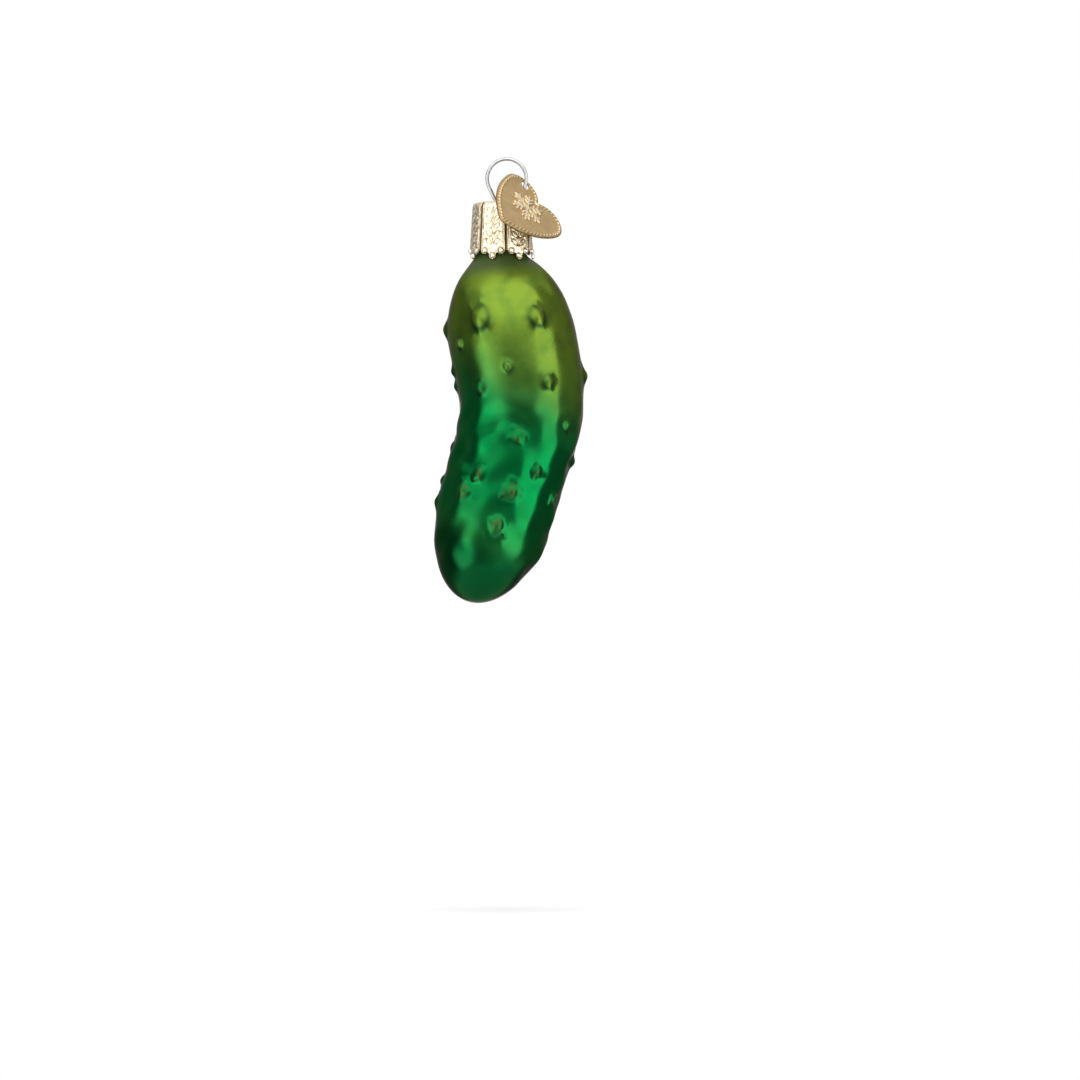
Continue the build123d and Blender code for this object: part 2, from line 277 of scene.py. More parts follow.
SPRAY_WAVE = 9.0               # the edges of the sprayed colours wander in waves of this length
SPRAY_WANDER = 0.05            # and by this share of the height
CLOUD_COLOUR = (0.020, 0.085, 0.018)
CLOUD_WAVE = 3.5
CLOUD_NOISE = (0.45, 0.7)      # noise where a cloud begins and is full
CLOUD_MOST = 0.35              # how much of the colour a cloud takes over
CLOUD_HEIGHTS = (0.5, 0.65)    # shares of the height where the faint clouds end and the full ones begin
CLOUD_FAINT = 0.3              # strength of the faint clouds
# Painted shade round the feet of the warts
POOL_COLOUR = (0.012, 0.045, 0.014)
POOL_MOST = 0.92
WART_FINISH = (0.2, 0.9)       # shares of a wart's height where its own finish begins and is full
FLECK_COLOUR = (0.060, 0.062, 0.018)
FLECK_WAVE = 0.9
FLECK_NOISE = (0.4, 0.6)
FLECK_MOST = 0.75
FLECK_HEIGHTS = (0.45, 0.6)    # shares of the height where the flecks on the warts fade and end
# Painted shade under the cap: the glass round its foot is coloured dark and made less metallic
COAT_COLOUR = (0.050, 0.085, 0.018)
COAT_METAL = 0.35              # how metallic the painted shade round the cap's foot is
COAT_DULLING = 0.3             # added to the roughness round it
CAP_SHADE = (6.9, 9.4)         # distances from the cap's foot where the painted shade starts to fade and ends
CAP_DULLING = (8.5, 12.0)      # the same for the duller gloss round it
WART_DULLING = 0.24
SATIN_WAVE = 3.0
SATIN = (0.17, 0.24)           # roughness of the lacquer

# Other finishes: pairs are the darker and the paler colour of an uneven surface
SILVER = ((0.62, 0.62, 0.58), (0.8, 0.8, 0.78))
SILVER_ROUGHNESS = (0.15, 0.3)
GOLD = ((0.92, 0.80, 0.55), (0.96, 0.89, 0.70))
GOLD_ROUGHNESS = (0.28, 0.42)
GOLD_FLECKS = (0.45, 0.29, 0.10)
GOLD_FLECK_NOISE = (0.52, 0.64)
GOLD_FLECK_MOST = 0.7
GOLD_RECESS = (0.08, 0.04, 0.01)
GOLD_RECESS_DEPTHS = (-0.24, -0.015)   # heights of the stamping where the brown is full and where it ends
GOLD_RECESS_MOST = 0.95
GOLD_WORN = (0.95, 0.89, 0.75)
GOLD_WORN_HEIGHTS = (0.02, 0.12)   # heights of the stamping where the wear begins and is full
GOLD_WORN_MOST = 0.85
BRASS = ((0.43, 0.29, 0.13), (0.55, 0.385, 0.19))
BRASS_ROUGHNESS = (0.3, 0.42)
# Painted shade in the tag's recesses and along its bevelled edge, and a painted highlight on its raised
# dashes and crystal
BRASS_RECESS = (0.12, 0.07, 0.025)
BRASS_RECESS_DEPTHS = (-0.05, -0.005)
BRASS_RECESS_MOST = 0.75
BRASS_WORN = (0.92, 0.80, 0.56)
BRASS_WORN_HEIGHTS = (0.1, 0.22)
BRASS_WORN_MOST = 0.9
STEEL = ((0.44, 0.44, 0.44), (0.60, 0.60, 0.60))
STEEL_ROUGHNESS = (0.14, 0.28)
FLOOR_PAINT = ((0.84, 0.84, 0.84), (0.88, 0.88, 0.88))
SCREEN_CLOTH = ((0.02, 0.02, 0.02), (0.03, 0.03, 0.03))
WHITE = (1, 1, 1, 1)


def smooth(low, high, value):
    """A smooth step from 0 at low to 1 at high."""
    share = np.clip((value - low) / (high - low), 0, 1)
    return share * share * (3 - 2 * share)


def bell(value, width):
    """A bell-shaped bump round zero."""
    return np.exp(-(value / width) ** 2)


def rough(points, count, waves, seed):
    """An uneven value of about -1 to 1 at each point, from seeded waves in all directions."""
    draw = np.random.default_rng(seed)
    total = np.zeros(points.shape[:-1])
    for _ in range(count):
        heading = draw.normal(size=3)
        heading /= np.linalg.norm(heading)
        wave = draw.uniform(*waves)
        total += np.sin(points @ heading * 2 * math.pi / wave + draw.uniform(0, 2 * math.pi))
    return total / math.sqrt(count)


def unit(vectors):
    """Vectors with the same directions and a length of one."""
    return vectors / np.linalg.norm(vectors, axis=-1, keepdims=True)


def ring_faces(rows, columns, closed=False):
    """Quads between neighbouring rings of points, and from the last ring to the first if closed."""
    column = np.arange(columns)
    ahead = np.roll(column, -1)
    row = np.arange(rows if closed else rows - 1)
    here = (row * columns)[:, None]
    below = ((row + 1) % rows * columns)[:, None]
    quads = np.stack([here + column, here + ahead, below + ahead, below + column], axis=-1)
    return quads.reshape(-1, 4).tolist()


def grid_faces(rows, columns):
    """Quads between neighbouring points of an open grid."""
    corner = (np.arange(rows - 1) * columns)[:, None] + np.arange(columns - 1)
    quads = np.stack([corner, corner + 1, corner + columns + 1, corner + columns], axis=-1)
    return quads.reshape(-1, 4).tolist()


def surface_normals(rings):
    """Unit normals of a grid of closed rings, pointing out of rings that run down and anticlockwise."""
    along = np.gradient(rings, axis=0)
    around = np.roll(rings, -1, axis=1) - np.roll(rings, 1, axis=1)
    return unit(np.cross(along, around))


def make_piece(name, points, faces, materials, marks):
    """A smooth mesh from points in millimetres, with named values at its points."""
    mesh = bpy.data.meshes.new(name)
    mesh.from_pydata((np.asarray(points) * MM).tolist(), [], faces)
    for mark, values in marks.items():
        layer = mesh.attributes.new(mark, "FLOAT", "POINT")
        layer.data.foreach_set("value", np.asarray(values, np.float32))
    shape = bmesh.new()
    shape.from_mesh(mesh)
    bmesh.ops.recalc_face_normals(shape, faces=shape.faces)
    shape.to_mesh(mesh)
    shape.free()
    mesh.shade_smooth()
    for material in materials:
        mesh.materials.append(material)
    piece = bpy.data.objects.new(name, mesh)
    bpy.context.scene.collection.objects.link(piece)
    return piece


def spine_at(distance):
    """Places of the pickle's middle line and its lean, at distances below the top of the bulb."""
    above = np.minimum(distance, TOP_STRAIGHT)
    turned = np.clip(distance - TOP_STRAIGHT, 0, BEND_LENGTH) / BEND_RADIUS
    below = np.maximum(distance - TOP_STRAIGHT - BEND_LENGTH, 0)
    lean = TOP_LEAN - turned
    bend_x = BEND_RADIUS * (np.cos(lean) - math.cos(TOP_LEAN))
    bend_z = BEND_RADIUS * (math.sin(TOP_LEAN) - np.sin(lean))
    x = SPINE_X + above * math.sin(TOP_LEAN) + bend_x - below * math.sin(BOTTOM_LEAN)
    z = SPINE_TOP - above * math.cos(TOP_LEAN) - bend_z - below * math.cos(BOTTOM_LEAN)
    return x, z, lean


def waist_radius(distance):
    """The bulb's outer radius between its two domes."""
    share = smooth(TOP_DOME, SPINE_LENGTH - BOTTOM_DOME, distance)
    return TOP_RADIUS + (BOTTOM_RADIUS - TOP_RADIUS) * share


def radius_at(distance):
    """The bulb's outer radius at a distance along its middle line."""
    up = np.clip(1 - distance / TOP_DOME, 0, 1)
    down = np.clip(1 - (SPINE_LENGTH - distance) / BOTTOM_DOME, 0, 1)
    return waist_radius(distance) * np.sqrt((1 - up ** 2) * (1 - down ** 2))


def bulb_profile(inset, rows, shoulder):
    """Distances and radii of the bulb's rings from the shoulder to the lower tip, taken in by an inset."""
    waist_end = SPINE_LENGTH - BOTTOM_DOME
    top = np.linspace(math.asin(shoulder / (TOP_RADIUS - inset)), math.pi / 2, rows[0], endpoint=False)
    waist = np.linspace(TOP_DOME, waist_end, rows[1], endpoint=False)
    bottom = np.linspace(math.pi / 2, TIP_TURN, rows[2])
    distance = [TOP_DOME - (TOP_DOME - inset) * np.cos(top), waist]
    distance.append(waist_end + (BOTTOM_DOME - inset) * np.cos(bottom))
    radius = [(TOP_RADIUS - inset) * np.sin(top), waist_radius(waist) - inset]
    radius.append((BOTTOM_RADIUS - inset) * np.sin(bottom))
    return np.concatenate(distance), np.concatenate(radius)


def glass_turns():
    """Angles round the glass, from the front towards +X."""
    return np.linspace(0, 2 * math.pi, GLASS_COLUMNS, endpoint=False)


def bulb_rings(distance, radius):
    """Rings square to the pickle's middle line."""
    x, z, lean = (value[:, None] for value in spine_at(distance))
    sideways = radius[:, None] * np.sin(glass_turns())
    forward = radius[:, None] * np.cos(glass_turns())
    return np.stack([x + np.cos(lean) * sideways, -forward, z + np.sin(lean) * sideways], axis=-1)


def neck_rings(profile):
    """Level rings about the neck's axis, from pairs of radius and height."""
    radius, height = (np.array(values)[:, None] for values in zip(*profile))
    flat = np.zeros(GLASS_COLUMNS)
    x = CAP_X + radius * np.sin(glass_turns())
    return np.stack([x, -radius * np.cos(glass_turns()), height + flat], axis=-1)


def bridge(start, start_pull, end, end_pull, rows):
    """Rings that run smoothly from one ring to another."""
    t = np.linspace(0, 1, rows + 2)[1:-1, None, None]
    leave = (2 * t ** 3 - 3 * t ** 2 + 1) * start + (t ** 3 - 2 * t ** 2 + t) * start_pull
    arrive = (3 * t ** 2 - 2 * t ** 3) * end + (t ** 3 - t ** 2) * end_pull
    return leave + arrive


def wart_height(points):
    """Each point's height on the warts, how much of it is wart, and the shade painted round the warts' feet
    there.
    """
    height = np.zeros(points.shape[:-1])
    share = np.zeros(points.shape[:-1])
    pooled = np.zeros(points.shape[:-1])
    uneven = rough(points, WART_WAVE_COUNT, WART_WAVES, WART_SEED)
    for distance, turn, radius in WARTS:
        x, z, lean = spine_at(np.array(float(distance)))
        out = float(radius_at(np.array(float(distance))))
        around = math.radians(turn)
        side = out * math.sin(around)
        centre = np.array([x + math.cos(lean) * side, -out * math.cos(around), z + math.sin(lean) * side])
        offset = points - centre
        along = offset @ np.array([math.sin(lean), 0, -math.cos(lean)])
        shortened = along ** 2 * (1 - 1 / WART_STRETCH ** 2)
        away = np.sqrt(np.clip((offset ** 2).sum(axis=-1) - shortened, 0, None)) / radius
        low = smooth(LUMP_START, LUMP_END, distance)
        ragged = 1 + np.interp(low, (0, 1), WART_RAGGED) * uneven
        bump = bell(WART_SPREAD * away * ragged, 1)
        # the shade painted round a wart's foot is stronger below it
        below = smooth(*WART_BELOW, along / (np.linalg.norm(offset, axis=-1) + TINY))
        foot = bell(bump - WART_FOOT, WART_FOOT_WIDTH)
        foot *= WART_FOOT_ABOVE + (1 - WART_FOOT_ABOVE) * below
        height += WART_RISE * radius * bump
        share = np.maximum(share, bump)
        pooled = np.maximum(pooled, foot * np.interp(low, (0, 1), (1, WART_FOOT_LOW)))
    return height, share, pooled


def make_pickle(lacquer, silvering):
    """The blown glass: one closed skin, up the inside, over the neck's rim and down the warty outside."""
    distance, radius = bulb_profile(0, GLASS_ROWS, SHOULDER_RADIUS)
    outer = bulb_rings(distance, radius)
    warts, wart_share, pooled = wart_height(outer)
    even_tip, uneven_tip = LUMP_FADE_TIP
    calm = smooth(distance[0], distance[0] + LUMP_FADE_TOP, distance)
    calm *= smooth(SPINE_LENGTH - even_tip, SPINE_LENGTH - uneven_tip, distance)
    uneven = np.interp(smooth(LUMP_START, LUMP_END, distance), (0, 1), LUMP_HEIGHTS) * calm
    even_side = 1 - LUMP_CALM * bell(glass_turns() - LUMP_CALM_TURN, LUMP_CALM_SPREAD)
    lumps = uneven[:, None] * even_side * rough(outer, LUMP_COUNT, LUMP_WAVES, LUMP_SEED)
    outer = outer + surface_normals(outer) * (warts + lumps)[..., None]
    inner = bulb_rings(*bulb_profile(GLASS_WALL, INNER_ROWS, INNER_SHOULDER_RADIUS))[::-1]
    bore = NECK_RADIUS - GLASS_WALL
    corner_in, corner_down = RIM_CORNER
    rim = [(bore, NECK_FOOT), (bore, NECK_RIM - RIM_ROUND), (bore + corner_in, NECK_RIM - corner_down)]
    rim += [(bore + RIM_ROUND, NECK_RIM), (NECK_RADIUS - RIM_ROUND, NECK_RIM)]
    rim += [(NECK_RADIUS - corner_in, NECK_RIM - corner_down)]
    rim += [(NECK_RADIUS, NECK_RIM - RIM_ROUND), (NECK_RADIUS, NECK_FOOT)]
    neck = neck_rings(rim)
    down = np.array([0, 0, -FILLET_PULL])
    leave = unit(outer[1] - outer[0]) * FILLET_PULL
    arrive = unit(inner[-1] - inner[-2]) * FILLET_PULL
    inner_fillet = bridge(inner[-1], arrive, neck[0], -down, FILLET_ROWS[0])
    fillet = bridge(neck[-1], down, outer[0], leave, FILLET_ROWS[1])
    rings = np.concatenate([inner, inner_fillet, neck, fillet, outer])
    tips = np.array([inner[0].mean(axis=0), outer[-1].mean(axis=0)])
    points = np.concatenate([rings.reshape(-1, 3), tips])
    faces = ring_faces(len(rings), GLASS_COLUMNS)
    inside_faces = (len(inner) + len(inner_fillet) + len(neck) - 1) * GLASS_COLUMNS
    first_tip, last_ring = len(rings) * GLASS_COLUMNS, (len(rings) - 1) * GLASS_COLUMNS
    outer_count = len(outer) * GLASS_COLUMNS
    for column in range(GLASS_COLUMNS):
        ahead = (column + 1) % GLASS_COLUMNS
        faces.append([first_tip, ahead, column])
        faces.append([first_tip + 1, last_ring + column, last_ring + ahead])
    marks = {"wart": np.zeros(len(points)), "wart_foot": np.zeros(len(points))}
    marks["wart"][first_tip - outer_count:first_tip] = wart_share.ravel()
    marks["wart_foot"][first_tip - outer_count:first_tip] = pooled.ravel()
    piece = make_piece("glass_pickle", points, faces, [lacquer, silvering], marks)
    silvered = np.zeros(len(faces), np.int32)
    silvered[:inside_faces] = 1
    silvered[-2 * GLASS_COLUMNS::2] = 1
    piece.data.polygons.foreach_set("material_index", silvered)
    return piece


def skirt_edge(across):
    """Height of the cap's lower edge across a panel: a trefoil of round lobes."""
    low = SCALLOP_RADIUS - CAP_HEIGHT
    side = low + SIDE_SCALLOP_RISE
    edge = np.minimum(side, low + SIDE_SCALLOP_RISE * np.abs(across) / SIDE_SCALLOP_OFFSET)
    for middle, level in ((0, low), (SIDE_SCALLOP_OFFSET, side)):
        reach = np.clip(SCALLOP_RADIUS ** 2 - (np.abs(across) - middle) ** 2, 0, None)
        edge = np.where(reach > 0, np.minimum(edge, level - np.sqrt(reach)), edge)
    return edge


def panel_relief(share, across, height):
    """Stamped design of a panel: a leafy sprig in lines, side borders, and a ringed bead in each lobe."""
    lines = bell(np.abs(share) - BORDER_PLACE, BORDER_WIDTH) + 0 * height
    sprig_top = SPRIG_FOOT + LEAF_STEP * LEAF_PAIRS
    on_stem = smooth(SPRIG_FOOT - STEM_FADE, SPRIG_FOOT, height)
    on_stem *= smooth(sprig_top + STEM_FADE, sprig_top, height)
    lines = np.maximum(lines, bell(across, LINE_WIDTH) * on_stem)
    for pair in range(LEAF_PAIRS):
        out = np.abs(across) - LEAF_OUT
        up = height - (SPRIG_FOOT + LEAF_STEP * pair + LEAF_UP)
        along = out * math.cos(LEAF_TILT) + up * math.sin(LEAF_TILT)
        aside = up * math.cos(LEAF_TILT) - out * math.sin(LEAF_TILT)
        rim = (np.hypot(along / LEAF_LENGTH, aside / LEAF_WIDTH) - 1) * LEAF_WIDTH
        lines = np.maximum(lines, bell(rim, LINE_WIDTH))
    relief = -LINE_DEPTH * lines
    low = SCALLOP_RADIUS - CAP_HEIGHT
    for middle, level in ((0, low), (SIDE_SCALLOP_OFFSET, low + SIDE_SCALLOP_RISE)):
        away = np.hypot(np.abs(across) - middle, height - level)
        clear = smooth(*LOBE_CLEAR, away - SCALLOP_RADIUS)
        bead = BEAD_RISE * np.sqrt(np.clip(BEAD_RADIUS ** 2 - away ** 2, 0, None))
        ring = BEAD_RING_DEPTH * bell(away - BEAD_RING, BEAD_RING_WIDTH)
        relief = relief * clear + bead - ring
    return relief


def cap_profile(rows):
    """Radii, heights, tilts and side shares of the cap's rows: flat top, rounded rim, then the side."""
    top_rows, rim_rows, side_rows = rows
    flat = CAP_TOP_RADIUS - CAP_RIM_ROUND
    top = np.linspace(CAP_HOLE_RADIUS, flat, top_rows, endpoint=False)
    rim = np.linspace(0, math.pi / 2, rim_rows, endpoint=False)
    side = np.linspace(0, 1, side_rows)
    radius = np.concatenate([top, flat + CAP_RIM_ROUND * np.sin(rim), np.full(side_rows, CAP_TOP_RADIUS)])
    rim_fall = CAP_RIM_ROUND * (np.cos(rim) - 1)
    height = np.concatenate([np.zeros(top_rows), rim_fall, np.full(side_rows, -CAP_RIM_ROUND)])
    tilt = np.concatenate([np.zeros(top_rows), rim, np.full(side_rows, math.pi / 2)])
    down = np.concatenate([np.zeros(top_rows + rim_rows), side])
    return [values[:, None] for values in (radius, height, tilt, down)]


def cap_skin(rows, inset, detail):
    """Rings of one face of the cap's sheet, and the height of its raised design."""
    columns = CAP_PANELS * CAP_COLUMNS
    panel_angle = 2 * math.pi / CAP_PANELS
    column = np.arange(columns)
    share = 2 * (column % CAP_COLUMNS) / CAP_COLUMNS - 1
    turn = math.radians(CAP_FIRST_GROOVE - 90) + panel_angle * column / CAP_COLUMNS
    across = CAP_BOTTOM_RADIUS * np.sin(share * panel_angle / 2)
    radius, height, tilt, down = cap_profile(rows)
    edge = skirt_edge(across) + (0 if detail else CAP_LIP_BEVEL)
    height = height + (edge + CAP_RIM_ROUND) * down
    fall = np.clip(-height - CAP_RIM_ROUND, 0, None) / (CAP_HEIGHT - CAP_RIM_ROUND)
    radius = radius + (CAP_BOTTOM_RADIUS - CAP_TOP_RADIUS) * fall
    pleat = smooth(PLEAT_START, CAP_TOP_RADIUS, radius)
    groove = GROOVE_DEPTH * bell(1 - np.abs(share), GROOVE_WIDTH)
    chord = 1 - math.cos(panel_angle / 2) / np.cos(share * panel_angle / 2)
    out = -(PANEL_FLATNESS * CAP_TOP_RADIUS * chord + groove) * pleat - inset
    relief = np.zeros(height.shape)
    if detail:
        relief = panel_relief(share, across, height) * smooth(*DESIGN_TILT, tilt + 0 * height)
        relief += HOLE_LIP * bell(radius - CAP_HOLE_RADIUS - HOLE_LIP_OUT, HOLE_LIP_WIDTH) * (tilt == 0)
        places = np.stack([radius * np.cos(turn), radius * np.sin(turn), height], axis=-1)
        relief += CAP_GRAIN * rough(places, CAP_GRAIN_COUNT, CAP_GRAIN_WAVES, CAP_GRAIN_SEED)
        out = out + relief
    radius = radius + out * np.sin(tilt)
    height = height + out * np.cos(tilt)
    rings = np.stack([CAP_X + radius * np.cos(turn), radius * np.sin(turn), CAP_TOP + height], axis=-1)
    return rings, relief - groove * pleat


def make_cap(gold):
    """The crown cap as one closed sheet: the embossed outside, the scalloped edge and the plain inside."""
    outer, relief = cap_skin((CAP_TOP_ROWS, CAP_RIM_ROWS, CAP_SIDE_ROWS), 0, True)
    inner, plain = cap_skin(CAP_INNER_ROWS, CAP_SHEET, False)
    rings = np.concatenate([outer, inner[::-1]])
    marks = np.concatenate([relief, plain[::-1]])
    faces = ring_faces(len(rings), rings.shape[1], closed=True)
    return make_piece("crown_cap_shell", rings.reshape(-1, 3), faces, [gold], {"relief": marks.ravel()})


def tag_axes():
    """The resting tag's directions across, up towards its notch, and out of its face."""
    rim_radius = CAP_TOP_RADIUS + CREST_EASE - CAP_RIM_ROUND
    reach = (TAG_HOLE[0] - CAP_X) * math.sin(TAG_FACE_RIGHT) - rim_radius
    rise = TAG_HOLE[2] - CAP_TOP + CAP_RIM_ROUND
    stand_off = CAP_RIM_ROUND + TAG_REST_GAP + TAG_SHEET / 2
    tilt = math.atan2(rise, reach) - math.acos(stand_off / math.hypot(reach, rise))
    level = np.array([math.cos(TAG_FACE_RIGHT), math.sin(TAG_FACE_RIGHT), 0])
    face = np.array([math.cos(tilt) * level[1], -math.cos(tilt) * level[0], math.sin(tilt)])
    across = level * math.cos(TAG_SPIN) - np.cross(face, level) * math.sin(TAG_SPIN)
    return across, np.cross(face, across), face


def arc(centre, radius, start, end):
    """Points along an arc, without its last one."""
    count = max(2, round(abs(end - start) * radius / EDGE_STEP))
    turns = np.linspace(start, end, count, endpoint=False)
    return np.stack([centre[0] + radius * np.cos(turns), centre[1] + radius * np.sin(turns)], axis=-1)


def heart_outline():
    """Points round the heart, from its notch down the right side to the tip and up the left side."""
    half = LOBE_SPACING / 2
    notch = math.atan2(math.sqrt(LOBE_RADIUS ** 2 - half ** 2), -half)
    lobe = arc((half, 0), LOBE_RADIUS, notch, -LOBE_END)
    lobe_end = np.array([half + LOBE_RADIUS * math.cos(LOBE_END), -LOBE_RADIUS * math.sin(LOBE_END)])
    inward = np.array([-math.cos(LOBE_END), math.sin(LOBE_END)])
    to_tip = np.array([0, -TAG_TIP]) - lobe_end
    side_radius = to_tip @ to_tip / (2 * inward @ to_tip)
    side_centre = lobe_end + inward * side_radius
    drop = math.sqrt((side_radius - TAG_TIP_ROUND) ** 2 - side_centre[0] ** 2)
    tip_centre = np.array([0, side_centre[1] - drop])
    meet = math.atan2(tip_centre[1] - side_centre[1], tip_centre[0] - side_centre[0])
    side = arc(side_centre, side_radius, -LOBE_END, meet)
    tip = arc(tip_centre, TAG_TIP_ROUND, meet, -math.pi / 2)
    right = np.concatenate([lobe, side, tip])
    bottom = np.array([[0, tip_centre[1] - TAG_TIP_ROUND]])
    return np.concatenate([right, bottom, (right[1:] * [-1, 1])[::-1]])


def inside(points, outline):
    """Which points lie inside a closed outline."""
    ends = np.roll(outline, -1, axis=0)
    x, y = points[:, :1], points[:, 1:]
    crosses = (outline[:, 1] > y) != (ends[:, 1] > y)
    slope = (ends[:, 0] - outline[:, 0]) / (ends[:, 1] - outline[:, 1] + TINY)
    left = x < outline[:, 0] + (y - outline[:, 1]) * slope
    return (crosses & left).sum(axis=1) % 2 == 1


def edge_place(points, outline):
    """Each point's distance from the outline, and how far round it the nearest place is, from 0 to 1."""
    gaps = np.linalg.norm(points[:, None] - outline[None], axis=-1)
    nearest = gaps.argmin(axis=1)
    return gaps.min(axis=1), nearest / len(outline)


def flake_height(points):
    """A raised six-armed snow crystal with two pairs of barbs on each arm."""
    x, y = points[:, 0] - FLAKE_PLACE[0], points[:, 1] - FLAKE_PLACE[1]
    away = np.hypot(x, y)
    sector = np.mod(np.arctan2(y, x) + math.pi / 6, math.pi / 3) - math.pi / 6
    along, aside = away * np.cos(sector), np.abs(away * np.sin(sector))
    gap = np.hypot(np.clip(along - FLAKE_ARM, 0, None), aside)
    for start in BARB_STARTS:
        reach = np.clip(((along - start) + aside) / 2, 0, BARB_REACH)
        gap = np.minimum(gap, np.hypot(along - start - reach, aside - reach))
    return FLAKE_HEIGHT * smooth(FLAKE_HALF + FLAKE_SOFT, FLAKE_HALF - FLAKE_SOFT, gap)


def tag_relief(points, outline):
    """Height of the tag's face: a bevelled edge, a border of slanted dashes and a snow crystal."""
    away, round_share = edge_place(points, outline)
    phase = round_share * DASH_COUNT + DASH_SLANT * (away - DASH_MIDDLE) / DASH_HALF
    dash = (0.5 + 0.5 * np.cos(2 * math.pi * phase)) ** DASH_POWER
    height = DASH_HEIGHT * dash * bell(away - DASH_MIDDLE, DASH_HALF * DASH_FADE)
    height += flake_height(points)
    return height - EDGE_BEVEL * smooth(EDGE_BEVEL_WIDTH, 0, away)


def make_tag(brass):
    """The heart tag as one stamped sheet: its back is hollow where its face is raised."""
    outline = heart_outline()
    hole_middle = np.array([-TAG_HOLE_ACROSS, TAG_HOLE_UP])
    hole = arc(hole_middle, TAG_HOLE_RADIUS, 0, 2 * math.pi)
    low, high = outline.min(axis=0), outline.max(axis=0)
    rows = np.arange(low[1], high[1], TAG_GRID * math.sin(math.pi / 3))
    columns = np.arange(low[0], high[0], TAG_GRID)
    grid = np.array([(x + TAG_GRID / 2 * (i % 2), y) for i, y in enumerate(rows) for x in columns])
    grid = grid[inside(grid, outline)]
    clear = np.linalg.norm(grid - hole_middle, axis=1) > TAG_HOLE_RADIUS + TAG_GRID / 2
    grid = grid[clear & (edge_place(grid, outline)[0] > TAG_GRID / 2)]
    flat = np.concatenate([outline, hole, grid])
    loops = [np.arange(len(outline)), len(outline) + np.arange(len(hole))]
    edges = [(int(a), int(b)) for loop in loops for a, b in zip(loop, np.roll(loop, -1))]
    mesh = delaunay_2d_cdt([Vector(p) for p in flat.tolist()], edges, [], 0, MERGE_GAP)
    flat = np.array([tuple(p) for p in mesh[0]])
    triangles = np.array(mesh[2])
    middles = flat[triangles].mean(axis=1)
    keep = inside(middles, outline) & ~inside(middles, hole)
    triangles = triangles[keep]
    relief = tag_relief(flat, outline)
    across, up, face = tag_axes()
    spread = np.outer(flat[:, 0] - hole_middle[0], across) + np.outer(flat[:, 1] - hole_middle[1], up)
    front = TAG_HOLE + spread + np.outer(TAG_SHEET / 2 + relief, face)
    back_relief = np.clip(relief, -EDGE_BEVEL, None) * BACK_DEPTH
    back = TAG_HOLE + spread + np.outer(back_relief - TAG_SHEET / 2, face)
    count = len(flat)
    faces = triangles.tolist() + (triangles[:, ::-1] + count).tolist()
    for loop in loops:
        for a, b in zip(loop.tolist(), np.roll(loop, -1).tolist()):
            faces.append([a, b, b + count, a + count])
    marks = np.concatenate([relief, -back_relief])
    return make_piece("stamped_heart", np.concatenate([front, back]), faces, [brass], {"relief": marks})


